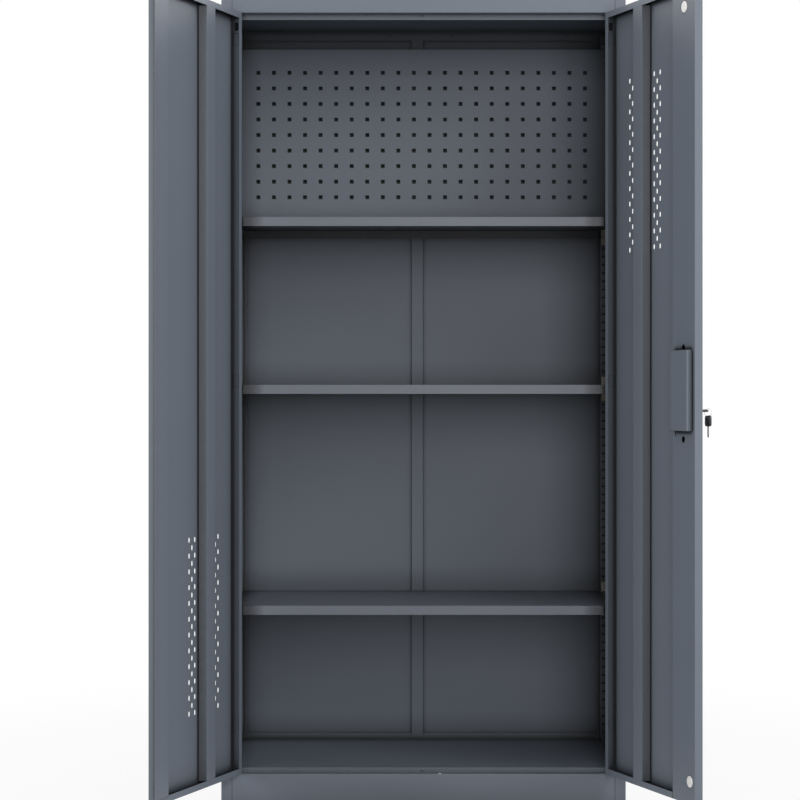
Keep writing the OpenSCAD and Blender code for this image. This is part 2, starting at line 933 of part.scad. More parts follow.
module door_leaves() {
  color(paint)
    for (z = hinge_z) hinge_leaf(z, 1, [1], pin_r + door_fit);
}

module hinge_pins() {
  color(steel)
    for (z = hinge_z)
      translate([0, axis_y, z - hinge_h / 2]) {
        cylinder(h = hinge_h, r = pin_r, $fn = round_fn);
        for (head = [-pin_head_h, hinge_h])
          translate([0, 0, head]) cylinder(h = pin_head_h, r = pin_head_r, $fn = round_fn);
      }
}

// Blocks in the boxed edge that the hinges are fastened to
module hinge_blocks() {
  color(paint)
    for (z = hinge_z)
      translate([door_u0 + sheet, skin_r, z - block_h / 2])
        cube([hinge_edge - sheet - block_gap, lip_v - skin_r, block_h]);
}

module left_hinge_frame_leaves() {
  left_hung(0) frame_leaves();
}

module right_hinge_frame_leaves() {
  right_hung(0) frame_leaves();
}

module left_hinge_pins() {
  left_hung(0) hinge_pins();
}

module right_hinge_pins() {
  right_hung(0) hinge_pins();
}

module left_hinge_door_leaves() {
  left_hung() door_leaves();
}

module right_hinge_door_leaves() {
  right_hung() door_leaves();
}

module left_hinge_blocks() {
  left_hung() hinge_blocks();
}

module right_hinge_blocks() {
  right_hung() hinge_blocks();
}

// ---- Handle and lock ------------------------------------------------

// Pressed cover over the back of the handle, standing on the stile
module lock_cover_box() {
  color(paint) right_hung()
    translate([box_u, door_d + box_d, box_z])
      mirror([0, 1, 0]) pan(box_w, box_d, box_h, box_r);
}

// Rounded outline of a plate about its middle
module plate_outline(w, h, r) {
  square([w - 2 * r, h], center = true);
  square([w, h - 2 * r], center = true);
  for (x = [-1, 1], y = [-1, 1])
    translate([x * (w / 2 - r), y * (h / 2 - r)])
      circle(r = r, $fn = round_fn);
}

// Moulded handle: a face plate with a finger cup through the door
module recessed_handle() {
  pocket = cup_half - cup_wall;
  color(black_plastic) right_hung()
    difference() {
      union() {
        translate([lock_u, 0, handle_z])
          wall_plate(-plate_out, plate_out) plate_outline(plate_w, plate_h, plate_corner);
        translate([lock_u - cup_half, -over, cup_low])
          cube([2 * cup_half, cup_depth + over, cup_high - cup_low]);
      }
      translate([lock_u - pocket, -plate_out - over, cup_low + cup_wall])
        cube([2 * pocket, plate_out + over + cup_depth - cup_wall, cup_high - cup_low - 2 * cup_wall]);
      bar_y(lock_u, lock_z, -plate_out - over, over, barrel_body_r + screw_gap);
      for (end = [-1, 1])
        bar_y(lock_u, handle_z + end * handle_screw_z, screw_pocket, over, screw_r);
    }
}

module handle_screws() {
  color(zinc) right_hung()
    for (end = [-1, 1]) {
      z = handle_z + end * handle_screw_z;
      bar_y(lock_u, z, sheet, sheet + screw_head_h, screw_head_r);
      bar_y(lock_u, z, screw_pocket + screw_gap, sheet, screw_r);
    }
}

module lock_barrel() {
  color(steel) right_hung()
    difference() {
      union() {
        bar_y(lock_u, lock_z, barrel_front, -plate_out, collar_r);
        bar_y(lock_u, lock_z, -plate_out, barrel_end, barrel_body_r);
      }
      bar_y(lock_u, lock_z, barrel_front - over, barrel_end + over, plug_r + bore_gap);
    }
}

module lock_nut() {
  color(zinc) right_hung()
    difference() {
      translate([lock_u, sheet, lock_z])
        rotate([-90, 30, 0]) cylinder(h = nut_h, r = nut_r, $fn = 6);
      bar_y(lock_u, lock_z, 0, sheet + nut_h + over, barrel_body_r + nut_gap);
    }
}

// Plug with its keyway level, as it stands with the key turned to open
module lock_plug() {
  slot = blade_w + 2 * blade_fit;
  color(steel) right_hung()
    difference() {
      union() {
        bar_y(lock_u, lock_z, barrel_front, barrel_end, plug_r);
        bar_y(lock_u, lock_z, barrel_end, cam_v + cam_t, stub_r);
      }
      translate([lock_u - slot / 2, barrel_front - over, lock_z - blade_t / 2 - blade_fit])
        cube([slot, keyway_end - barrel_front + over, blade_t + 2 * blade_fit]);
    }
}

// Two-armed cam, one arm down towards each rod's foot at rest
module lock_cam() {
  color(zinc) right_hung()
    difference() {
      translate([lock_u, 0, lock_z])
        wall_plate(cam_v, cam_t)
          rotate(45) {
            square([2 * cam_arm, 2 * cam_end_r], center = true);
            circle(r = hub_r, $fn = round_fn);
            for (end = [-1, 1])
              translate([end * cam_arm, 0]) circle(r = cam_end_r, $fn = round_fn);
          }
      bar_y(lock_u, lock_z, cam_v - over, cam_v + cam_t + over, stub_r + stub_gap);
    }
}

module cam_screw() {
  v = cam_v + cam_t;
  color(zinc) right_hung()
    bar_y(lock_u, lock_z, v, v + cam_screw_h, cam_screw_r);
}

// Latch rod with a flat foot that reaches over to the cam
module latch_rod(rod_a, foot_a, rod_end, foot_z) {
  u = door_u1 - rod_a;
  foot_u = door_u1 - foot_a;
  low = min(rod_end, foot_z);
  foot_l = abs(foot_u - u) + rod_r;
  color(zinc) right_hung() {
    translate([u, rod_v, low]) cylinder(h = abs(rod_end - foot_z), r = rod_r, $fn = round_fn);
    translate([min(u - rod_r, foot_u), foot_v, foot_z - foot_half])
      cube([foot_l, foot_t, 2 * foot_half]);
  }
}

module latch_rod_upper() {
  latch_rod(upper_rod_a, lock_a + foot_reach, door_z1 - sheet, lock_z - rod_travel / 2);
}

module latch_rod_lower() {
  latch_rod(lower_rod_a, lock_a - foot_reach, door_z0 + sheet, lock_z + rod_travel / 2);
}

// ---- Keys -----------------------------------------------------------

// Key head: x from the blade outward, y across, z through its thickness
module head_shape() {
  difference() {
    translate([head_l / 2, 0, -head_t / 2])
      linear_extrude(head_t) plate_outline(head_l, head_w, head_r);
    translate([ring_hole_x, 0, -head_t])
      cylinder(h = 2 * head_t, r = ring_hole_r, $fn = round_fn);
  }
}

// Blade from x = -l to 0 with cuts along one edge
module blade_shape(l, w) {
  cut = w / 4;
  pitch = l / 6;
  translate([0, 0, -blade_t / 2])
    linear_extrude(blade_t)
      polygon([
        [0, -w / 2], [0, w / 2], [-pitch, w / 2],
        for (i = [1:4]) each [[-(i + 0.3) * pitch, w / 2 - cut], [-(i + 0.8) * pitch, w / 2]],
        [-l + cut, w / 2 - cut], [-l, 0], [-l + cut, -w / 2]
      ]);
}

module key_head() {
  color(black_plastic) right_hung()
    translate([lock_u, key_v, lock_z])
      rotate([0, 0, -90]) head_shape();
}

module key_blade() {
  color(nickel) right_hung()
    translate([lock_u, key_v, lock_z])
      rotate([0, 0, -90]) blade_shape(blade_in, blade_w);
}

module key_ring() {
  color(steel) right_hung()
    translate([lock_u, ring_v, ring_z])
      rotate([0, 90, 0])
        rotate_extrude($fn = 2 * round_fn)
          translate([ring_r, 0]) circle(r = wire_r, $fn = 16);
}

module spare_key_head() {
  color(black_plastic) right_hung()
    translate([lock_u, ring_v, spare_hole_z - ring_hole_x])
      rotate([-90, -90, 0]) head_shape();
}

module spare_key_blade() {
  color(nickel) right_hung()
    translate([lock_u, ring_v, spare_hole_z - ring_hole_x])
      rotate([-90, -90, 0]) blade_shape(spare_blade_l, spare_blade_w);
}

left_side_panel();
right_side_panel();
top_panel();
top_header();
floor_panel();
kick_plate();
back_panel_left();
back_panel_right();
back_seam_strip();
back_top_rail();
front_post_left();
front_post_right();
rear_post_left();
rear_post_right();
pegboard();
pegboard_screws();
shelf_upper();
shelf_middle();
shelf_lower();
shelf_clips();
stop_rivets();
left_hinge_frame_leaves();
right_hinge_frame_leaves();
left_hinge_pins();
right_hinge_pins();
left_door_panel();
left_door_stiffener();
left_door_edge_strip();
left_hinge_door_leaves();
left_hinge_blocks();
right_door_panel();
right_door_stiffener();
right_door_lock_stile();
right_hinge_door_leaves();
right_hinge_blocks();
lock_cover_box();
recessed_handle();
handle_screws();
lock_barrel();
lock_nut();
stile_plugs();
lock_plug();
lock_cam();
cam_screw();
key_blade();
key_head();
key_ring();
spare_key_blade();
spare_key_head();
latch_rod_upper();
latch_rod_lower();
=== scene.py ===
# Two-door steel tool cabinet with its doors standing open: slate powder
# coat on folded sheet, a pegboard back, three hung shelves and a key lock.
import bmesh
import bpy
import json
import math
import numpy as np
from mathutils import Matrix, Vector

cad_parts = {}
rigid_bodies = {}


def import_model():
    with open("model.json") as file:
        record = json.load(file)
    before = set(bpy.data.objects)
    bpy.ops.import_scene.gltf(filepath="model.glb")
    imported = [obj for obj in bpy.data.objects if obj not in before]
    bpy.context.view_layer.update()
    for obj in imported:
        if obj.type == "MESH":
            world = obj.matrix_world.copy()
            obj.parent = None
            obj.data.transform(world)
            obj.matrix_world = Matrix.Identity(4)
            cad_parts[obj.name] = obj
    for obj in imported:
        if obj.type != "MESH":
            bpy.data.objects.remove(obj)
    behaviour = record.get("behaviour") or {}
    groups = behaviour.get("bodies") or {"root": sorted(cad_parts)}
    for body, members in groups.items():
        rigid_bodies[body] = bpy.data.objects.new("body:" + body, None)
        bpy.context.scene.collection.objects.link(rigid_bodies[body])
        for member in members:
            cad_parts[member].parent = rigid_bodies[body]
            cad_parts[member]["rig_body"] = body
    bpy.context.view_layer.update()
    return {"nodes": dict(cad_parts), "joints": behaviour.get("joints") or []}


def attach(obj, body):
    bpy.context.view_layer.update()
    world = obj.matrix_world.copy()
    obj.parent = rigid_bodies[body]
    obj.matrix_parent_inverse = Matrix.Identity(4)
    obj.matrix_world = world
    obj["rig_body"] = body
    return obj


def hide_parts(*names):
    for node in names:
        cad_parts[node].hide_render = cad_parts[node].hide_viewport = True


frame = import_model()
nodes = frame["nodes"]


# ---- The room: floor, backdrop, lamps and camera ----------------------------
# A white studio. Floor and backdrop show white to the camera and in gloss,
# while soft boxes light the cabinet from the front and a little from the right.

class Wire:
    """An output socket in a finish; arithmetic on it adds Math nodes."""

    def __init__(self, finish, socket):
        self.finish = finish
        self.socket = socket

    def _math(self, operation, first, second):
        return self.finish.node("ShaderNodeMath", {"operation": operation},
                                {0: first, 1: second})

    def __add__(self, other):
        return self._math("ADD", self, other)

    def __radd__(self, other):
        return self._math("ADD", other, self)

    def __sub__(self, other):
        return self._math("SUBTRACT", self, other)

    def __rsub__(self, other):
        return self._math("SUBTRACT", other, self)

    def __mul__(self, other):
        return self._math("MULTIPLY", self, other)

    def __rmul__(self, other):
        return self._math("MULTIPLY", other, self)


class Finish:
    """A procedural finish, built up one node at a time."""

    def __init__(self, name):
        self.material = bpy.data.materials.new(name)
        self.material.use_nodes = True
        self.tree = self.material.node_tree
        self.shader = self.tree.nodes["Principled BSDF"]
        self.place = self.node("ShaderNodeTexCoord", out="Object")

    def node(self, kind, settings=None, inputs=None, out=0):
        """Adds a node, sets it up, feeds its sockets and returns one output."""
        node = self.tree.nodes.new(kind)
        for key, value in (settings or {}).items():
            setattr(node, key, value)
        for key, value in (inputs or {}).items():
            self.feed(node.inputs[key], value)
        return Wire(self, node.outputs[out])

    def feed(self, socket, value):
        """Links a wire to a socket, or sets the socket's own value."""
        if isinstance(value, Wire):
            self.tree.links.new(value.socket, socket)
        else:
            socket.default_value = value

    def surface(self, **values):
        """Feeds the shader's sockets, named with underscores for spaces."""
        for key, value in values.items():
            self.feed(self.shader.inputs[key.replace("_", " ")], value)

    def noise(self, scale, detail):
        """Soft noise through the piece's own space, from 0 to 1."""
        return self.node("ShaderNodeTexNoise",
                         inputs={"Vector": self.place, "Scale": scale, "Detail": detail})

    def blend(self, amount, first, second):
        """A colour between two, by an amount from 0 to 1."""
        return self.node("ShaderNodeMix", {"data_type": "RGBA"},
                         {0: amount, 6: first, 7: second}, out=2)

    def bump(self, height, depth, strength):
        """A bumped normal from a height between 0 and 1, depth in metres."""
        return self.node("ShaderNodeBump",
                         inputs={"Strength": strength, "Distance": depth, "Height": height})


def shade(colour, factor=1.0):
    """An opaque colour, made lighter or darker by a factor."""
    return tuple(min(1.0, c * factor) for c in colour) + (1.0,)


def backdrop_rays(tree):
    """1 for the rays that meet plain white: the camera's own, and those in gloss and glass."""
    path = tree.nodes.new("ShaderNodeLightPath")
    shown = path.outputs["Is Camera Ray"]
    for kind in ("Is Glossy Ray", "Is Transmission Ray"):
        either = tree.nodes.new("ShaderNodeMath")
        either.operation = "MAXIMUM"
        tree.links.new(shown, either.inputs[0])
        tree.links.new(path.outputs[kind], either.inputs[1])
        shown = either.outputs[0]
    return shown


# The world is dim to the cabinet and white to the camera and to gloss.
ambient_level = 0.20
plain_white = (1, 1, 1, 1)
world = bpy.data.worlds.new("studio")
bpy.context.scene.world = world
world.use_nodes = True
sky = world.node_tree
ambient = sky.nodes["Background"]
ambient.inputs["Strength"].default_value = ambient_level
ambient.inputs["Color"].default_value = plain_white
seen = sky.nodes.new("ShaderNodeBackground")
seen.inputs["Color"].default_value = plain_white
seen.inputs["Strength"].default_value = 1.0
pick = sky.nodes.new("ShaderNodeMixShader")
sky.links.new(backdrop_rays(sky), pick.inputs[0])
sky.links.new(ambient.outputs[0], pick.inputs[1])
sky.links.new(seen.outputs[0], pick.inputs[2])
sky.links.new(pick.outputs[0], sky.nodes["World Output"].inputs[0])

# The floor keeps a soft shadow near the cabinet and fades to plain white.
floor_half = 30.0
shadow_start = 0.5
shadow_reach = 2.4
shadow_share = 0.08
paper_tone = 0.42
mesh = bpy.data.meshes.new("floor")
corners = [(-floor_half, -floor_half, 0), (floor_half, -floor_half, 0),
           (floor_half, floor_half, 0), (-floor_half, floor_half, 0)]
mesh.from_pydata(corners, [], [(0, 1, 2, 3)])
floor = bpy.data.objects.new("floor", mesh)
bpy.context.scene.collection.objects.link(floor)
paper = Finish("white_floor")
paper.surface(Base_Color=(paper_tone, paper_tone, paper_tone, 1), Roughness=0.9)
distance = paper.node("ShaderNodeVectorMath", {"operation": "LENGTH"}, {0: paper.place},
                      out="Value")
nearness = paper.node("ShaderNodeMapRange", {"interpolation_type": "SMOOTHSTEP"},
                      {0: distance, 1: shadow_start, 2: shadow_reach, 3: shadow_share, 4: 0.0})
view = Wire(paper, backdrop_rays(paper.tree))
white = paper.node("ShaderNodeEmission", inputs={"Color": plain_white, "Strength": 1.0})
cover = paper.node("ShaderNodeMixShader", inputs={0: view * (1 - nearness), 2: white})
paper.tree.links.new(paper.shader.outputs[0], cover.socket.node.inputs[1])
paper.tree.links.new(cover.socket, paper.tree.nodes["Material Output"].inputs[0])
mesh.materials.append(paper.material)


lamp_reach = 6.0
lamp_size = 2.4
lamp_aim = Vector((0, 0, 0.9))


def soft_box(name, azimuth, height, power):
    """A square lamp facing the cabinet's middle, azimuth degrees to the right of its front."""
    data = bpy.data.lights.new(name, "AREA")
    data.size = lamp_size
    data.energy = power
    obj = bpy.data.objects.new(name, data)
    turn = math.radians(azimuth)
    obj.location = (lamp_reach * math.sin(turn), -lamp_reach * math.cos(turn), height)
    aim = lamp_aim - obj.location
    obj.rotation_euler = aim.to_track_quat("-Z", "Y").to_euler()
    bpy.context.scene.collection.objects.link(obj)


soft_box("key_lamp", 36, 4.1, 160)
soft_box("side_lamp", 68, 1.8, 108)
soft_box("front_lamp", 6, 1.8, 106)
soft_box("fill_lamp", -62, 1.8, 175)
soft_box("right_rear_lamp", 122, 2.4, 150)
soft_box("left_rear_lamp", -122, 2.4, 110)
soft_box("rear_lamp", 180, 3.0, 90)

# The camera looks level, straight at the back, from a little left of the middle.
camera_x = -0.0531
camera_z = 0.9145
camera_distance = 5.020
body_half_depth = 0.2285
camera_data = bpy.data.cameras.new("camera")
camera_data.lens = 100
camera_data.sensor_width = 36
camera = bpy.data.objects.new("camera", camera_data)
camera.location = (camera_x, -body_half_depth - camera_distance, camera_z)
camera.rotation_euler = (math.pi / 2, 0, 0)
bpy.context.scene.collection.objects.link(camera)
bpy.context.scene.camera = camera
bpy.context.scene.view_settings.view_transform = "Standard"


# ---- Body: sides, roof, fascia, kick plate and floor ------------------------
# The body is folded from 1 mm sheet steel, spot welded, sprayed with slate
# powder and baked. The powder leaves a satin skin with a fine orange peel.

# Reaches of the painted shade that darkens folds and seams.
fold_shade_reach = 0.07
seam_shade_reach = 0.010
peel_size = 0.0016
peel_depth = 0.00012
slate = (0.131, 0.150, 0.181)


def powder_coat(name, colour, roughness=0.46, fold_shade_depth=0.8, seam_shade_depth=0.3, fold_shade_tone=0.10):
    """Powder coat: a faint cloudy tone with fine light grit, small pimples that also break
    up the gloss, and painted shade: the colour deepens in folds, corners and seams, where
    ambient occlusion finds the sheet closing round on itself. The fold and seam depths
    say how fast the painted shade deepens, the fold tone how dark it gets."""
    coat = Finish(name)
    cloud = coat.noise(2.6, detail=4.0)
    grain = coat.noise(0.7 / peel_size, detail=1.0)
    grit = coat.noise(1.4 / peel_size, detail=2.0)
    tone = coat.blend(cloud, shade(colour, 0.95), shade(colour, 1.05))
    speckled = coat.blend(grit * 0.10, tone, shade(colour, 1.5))
    # Painted shade: ambient occlusion at two reaches darkens the colour in folds, corners and
    # seams.
    wide_shade = coat.node("ShaderNodeAmbientOcclusion", {"samples": 8}, {"Distance": fold_shade_reach},
                     out="AO")
    close_shade = coat.node("ShaderNodeAmbientOcclusion", {"samples": 4}, {"Distance": seam_shade_reach},
                      out="AO")
    painted_fold_shade = coat.node("ShaderNodeMath", {"operation": "MINIMUM"},
                      {0: fold_shade_depth * (1 - wide_shade) + seam_shade_depth * (1 - close_shade), 1: 1.0})
    coat.surface(Base_Color=coat.blend(painted_fold_shade, speckled, shade(colour, fold_shade_tone)),
                 Roughness=roughness + 0.12 * (grain - 0.5),
                 Normal=coat.bump(grain, peel_depth, 0.5), IOR=1.5, Specular_IOR_Level=0.28)
    return coat.material


# The body's coat paints a light shade into its folds and seams.
body_coat = powder_coat("slate_powder_coat", slate)


def fitted(piece, name):
    """The piece takes the place and the body of a CAD node."""
    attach(piece, nodes[name]["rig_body"])
    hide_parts(name)


weld_within = 2e-6
flat_within = math.radians(0.3)
crease_from = math.radians(35)
eased_from = math.radians(50)


def eased(name, finish, width=0.0003, segments=2):
    """A CAD piece with its loose triangles joined into flat faces and its sharp edges eased."""
    mesh = nodes[name].data.copy()
    mesh.materials.clear()
    work = bmesh.new()
    work.from_mesh(mesh)
    bmesh.ops.remove_doubles(work, verts=work.verts, dist=weld_within)
    bmesh.ops.dissolve_limit(work, angle_limit=flat_within, verts=work.verts, edges=work.edges)
    work.to_mesh(mesh)
    work.free()
    mesh.shade_smooth()
    mesh.set_sharp_from_angle(angle=crease_from)
    mesh.materials.append(finish)
    piece = bpy.data.objects.new(name + "_finished", mesh)
    bpy.context.scene.collection.objects.link(piece)
    edge = piece.modifiers.new("edge", "BEVEL")
    edge.limit_method = "ANGLE"
    edge.angle_limit = eased_from
    edge.width = width
    edge.segments = segments
    normals = piece.modifiers.new("normals", "WEIGHTED_NORMAL")
    normals.weight = 100
    fitted(piece, name)


for name in ("left_side_panel", "right_side_panel", "top_panel", "top_header", "kick_plate"):
    eased(name, body_coat)

# Inside, where sheets meet in corners, the coat paints deeper shade into the folds.
inner_coat = powder_coat("inner_powder_coat", slate, fold_shade_depth=1.5, seam_shade_depth=0.9)
eased("floor_panel", inner_coat)


# ---- Back: two pressed panels, the seam strip and the wall rail -------------
# Two sheets with pressed fields close the back. A flat strip covers the seam
# between them, and a punched rail under the roof takes wall screws.

for name in ("back_panel_left", "back_panel_right", "back_seam_strip", "back_top_rail"):
    eased(name, inner_coat)


# ---- Posts and pegboard -----------------------------------------------------
# Slotted channel posts stand in the corners. The pegboard is one punched
# sheet, folded back along its top and screwed to the rear posts.

for name in ("front_post_left", "front_post_right", "rear_post_left", "rear_post_right",
             "pegboard"):
    eased(name, inner_coat)


# ---- Shelves and their clips ------------------------------------------------
# Each shelf is one sheet with lips folded down on all four sides. Four bent
# clips in dull olive zinc, hooked into the posts' slots, carry it.

shelf_slate = (0.130, 0.141, 0.169)
# The shelves' coat paints deep shade into the corners inside their folded lips, and none along
# seams.
shelf_coat = powder_coat("shelf_powder_coat", shelf_slate, roughness=0.40, fold_shade_depth=4.0,
                         seam_shade_depth=0.0)
for name in ("shelf_upper", "shelf_middle", "shelf_lower"):
    eased(name, shelf_coat, width=0.0005, segments=3)


def zinc_plate(name, deep, pale, roughness=0.26):
    """Zinc plating: metal clouded between a deep and a pale tone, with an uneven gloss."""
    zinc = Finish(name)
    cloud = zinc.noise(90.0, detail=3.0)
    scratch = zinc.noise(900.0, detail=1.0)
    tone = zinc.blend(cloud, shade(deep), shade(pale))
    zinc.surface(Base_Color=tone, Metallic=1.0, Roughness=roughness + 0.22 * cloud,
                 Normal=zinc.bump(scratch, 0.00002, 0.4))
    return zinc.material


deep_olive = (0.115, 0.110, 0.090)
pale_olive = (0.185, 0.180, 0.150)
dull_zinc = zinc_plate("dull_zinc_plate", deep_olive, pale_olive, roughness=0.42)
eased("shelf_clips", dull_zinc, width=0.0002)


# ---- Pegboard screws and stop rivets ----------------------------------------
# Painted pan-head screws with a cross recess hold the pegboard. Domed rivets
# on the stop flanges are what the doors come to rest against.

class Place:
    """Axes that a piece is drawn in: an origin, two directions and the one square to both."""

    def __init__(self, origin, first, second):
        first = Vector(first).normalized()
        second = Vector(second).normalized()
        self.origin = np.array(origin, float)
        self.axes = np.array([first, second, first.cross(second)], float)

    def world(self, points):
        """The points of these axes in the cabinet's own."""
        return self.origin + np.asarray(points, float) @ self.axes

    def solids(self, name):
        """Boxes of a node's separate solids, in these axes. Every point takes the lowest
        number among the points that it shares a triangle with, until none changes."""
        mesh = nodes[name].data
        points = np.empty(len(mesh.vertices) * 3, np.float32)
        mesh.vertices.foreach_get("co", points)
        corners = np.empty(len(mesh.loops), np.int32)
        mesh.loops.foreach_get("vertex_index", corners)
        points, same = np.unique(np.round(points.reshape(-1, 3), 6), axis=0, return_inverse=True)
        faces = same.reshape(-1)[corners].reshape(-1, 3)
        label = np.arange(len(points))
        settled = False
        while not settled:
            lower = label.copy()
            np.minimum.at(lower, faces, label[faces].min(axis=1)[:, None])
            settled = bool((lower == label).all())
            label = lower
        local = (points - self.origin) @ self.axes.T
        parts = [local[label == k] for k in np.unique(label)]
        return [(part.min(axis=0), part.max(axis=0)) for part in parts]


turned_crease = math.radians(40)


def lofted(name, rings, place, finish, wrap=False):
    """Skin over rings of points: quads join each ring to the next, and flat faces close
    the first and the last ring, or with wrap the last ring joins the first."""
    rings = np.asarray(rings, float)
    count, size = rings.shape[:2]
    steps = count if wrap else count - 1
    i, j = np.meshgrid(np.arange(steps), np.arange(size), indexing="ij")
    i2, j2 = (i + 1) % count, (j + 1) % size
    quads = np.stack([i * size + j, i * size + j2, i2 * size + j2, i2 * size + j], axis=-1)
    faces = quads.reshape(-1, 4).tolist()
    if not wrap:
        faces += [list(range(size)), list(range((count - 1) * size, count * size))]
    mesh = bpy.data.meshes.new(name)
    mesh.from_pydata(place.world(rings.reshape(-1, 3)).tolist(), [], faces)
    work = bmesh.new()
    work.from_mesh(mesh)
    bmesh.ops.recalc_face_normals(work, faces=work.faces)
    work.to_mesh(mesh)
    work.free()
    mesh.shade_smooth()
    mesh.set_sharp_from_angle(angle=turned_crease)
    mesh.materials.append(finish)
    piece = bpy.data.objects.new(name, mesh)
    bpy.context.scene.collection.objects.link(piece)
    return piece


def turned(profile, centre, sides):
    """Rings of a turned piece: each radius and height of the profile goes once round the
    axis through centre, which runs along the third direction."""
    radius, height = np.array(profile, float).T
    turn = np.linspace(0, 2 * math.pi, sides, endpoint=False)
    x = radius[:, None] * np.cos(turn)
    y = radius[:, None] * np.sin(turn)
    z = height[:, None] + 0 * turn
    return np.stack([x, y, z], axis=-1) + np.asarray(centre, float)


def arc(r0, z0, r1, z1, steps):
    """Quarter of an ellipse between two profile points, level at the second one."""
    a = np.linspace(0, math.pi / 2, steps + 1)
    return [(r1 + (r0 - r1) * math.cos(t), z0 + (z1 - z0) * math.sin(t)) for t in a]


def cross_head(radius, height, shank_r, shank_l, centre, sides=64):
    """Rings of a pan-head screw: a low dome over radius and angle, less a cross that is
    deepest in the middle, then the rim, the seat and the shank behind."""
    arm_half, arm_slope = 0.16, 0.06
    arm_end, end_slope = 0.62, 0.12
    rim, cross_depth = 0.35, 0.55
    first_ring, ring_count = 0.05, 26
    share = np.linspace(first_ring, 1, ring_count)[:, None]
    turn = np.linspace(0, 2 * math.pi, sides, endpoint=False)[None, :]
    x, y = share * np.cos(turn), share * np.sin(turn)
    slim = np.minimum(abs(x), abs(y))
    far = np.maximum(abs(x), abs(y))
    cut = np.clip((arm_half - slim) / arm_slope, 0, 1)
    cut = cut * np.clip((arm_end - far) / end_slope, 0, 1)
    z = height * (rim + (1 - rim) * (1 - share ** 3) - cross_depth * cut)
    dome = np.stack([radius * x, radius * y, z + 0 * x], axis=-1) + np.asarray(centre, float)
    back = turned([(radius, 0), (shank_r, 0), (shank_r, -shank_l)], centre, sides)
    return np.concatenate([dome, back])


facing_front = Place((0, 0, 0), (1, 0, 0), (0, 0, 1))
shank_r = 0.002
head_h = 0.002
for i, (low, high) in enumerate(facing_front.solids("pegboard_screws")):
    middle = (low + high) / 2
    seat = high[2] - head_h
    radius = (high[0] - low[0]) / 2
    rings = cross_head(radius, head_h, shank_r, seat - low[2], (middle[0], middle[1], seat))
    piece = lofted("pegboard_screw_%d" % (i + 1), rings, facing_front, body_coat)
    fitted(piece, "pegboard_screws")

dome_h = 0.0016
dome_rim = 0.0003
for i, (low, high) in enumerate(facing_front.solids("stop_rivets")):
    middle = (low + high) / 2
    radius = (high[0] - low[0]) / 2
    seat = high[2] - dome_h
    profile = [(shank_r, low[2] - seat), (shank_r, 0), (radius, 0), (radius, dome_rim)]
    profile += arc(radius, dome_rim, dome_rim, dome_h, steps=8)[1:]
    rings = turned(profile, (middle[0], middle[1], seat), sides=32)
    piece = lofted("stop_rivet_%d" % (i + 1), rings, facing_front, body_coat)
    fitted(piece, "stop_rivets")


# ---- Doors: pans, stiffeners, the edge strip and the lock stile -------------
# Each door is a shallow pan of sheet with lips folded in round its rim, and a
# hat-shaped stiffener down its back between two groups of punched vents.

# The doors' coat paints dark shade along seams and steps, such as the lock stile's edge.
door_coat = powder_coat("door_powder_coat", slate, fold_shade_depth=1.5, seam_shade_depth=2.2)
for name in ("left_door_panel", "left_door_edge_strip", "right_door_panel",
             "right_door_lock_stile"):
    eased(name, door_coat)

# The stiffeners' coat paints heavy shade down the walls of the hat, darkest at their foot, in a
# less deep tone.
stiffener_coat = powder_coat("stiffener_powder_coat", slate, fold_shade_depth=6.0, seam_shade_depth=1.5,
                             fold_shade_tone=0.20)
for name in ("left_door_stiffener", "right_door_stiffener"):
    eased(name, stiffener_coat)


# ---- Hinges -----------------------------------------------------------------
# Three short hinges to a door: rolled knuckles painted with the body, on
# bright pins with peened heads, fastened to blocks in the door's boxed edge.

for side in ("left", "right"):
    for part in ("hinge_frame_leaves", "hinge_door_leaves", "hinge_blocks"):
        eased(side + "_" + part, door_coat, width=0.0002)


def bright_steel(name, colour=(0.50, 0.51, 0.53), roughness=0.22):
    """Nickel-plated steel: even bright metal with hair-fine rub marks in its gloss."""
    steel = Finish(name)
    rub = steel.noise(700.0, detail=2.0)
    bloom = steel.noise(60.0, detail=2.0)
    tone = steel.blend(bloom, shade(colour, 0.88), shade(colour, 1.12))
    steel.surface(Base_Color=tone, Metallic=1.0, Roughness=roughness + 0.14 * rub,
                  Normal=steel.bump(rub, 0.00001, 0.5))
    return steel.material


nickel = bright_steel("nickel_plate")
upright = Place((0, 0, 0), (1, 0, 0), (0, 1, 0))
peen_h = 0.001
peen_lip = 0.001
peen_flat_r = 0.0004
peen_rounded = 0.7
for side in ("left", "right"):
    for i, (low, high) in enumerate(upright.solids(side + "_hinge_pins")):
        middle = (low + high) / 2
        half = (high[2] - low[2]) / 2
        head_r = (high[0] - low[0]) / 2
        rim_z = half - peen_rounded * peen_h
        upper = [(head_r - peen_lip, half - peen_h), (head_r, half - peen_h), (head_r, rim_z)]
        upper += arc(head_r, rim_z, peen_flat_r, half, steps=5)[1:]
        profile = [(r, -z) for r, z in reversed(upper)] + upper
        rings = turned(profile, middle, sides=24)
        piece = lofted("%s_hinge_pin_%d" % (side, i + 1), rings, upright, nickel)
        fitted(piece, side + "_hinge_pins")


# ---- Lock stile: cover box and white caps -----------------------------------
# A pressed cover box hides the back of the handle. Two moulded white caps
# are pushed on near the ends of the stile.

eased("lock_cover_box", body_coat)

joints = {joint["name"]: joint for joint in frame["joints"]}
lock_axis = Vector(joints["lock_turn"]["axis"])
lock_place = Vector(joints["lock_turn"]["pos_m"])
skyward = Vector((0, 0, 1))
outward = Place(lock_place, skyward.cross(lock_axis), skyward)
inward = Place(lock_place, lock_axis.cross(skyward), skyward)


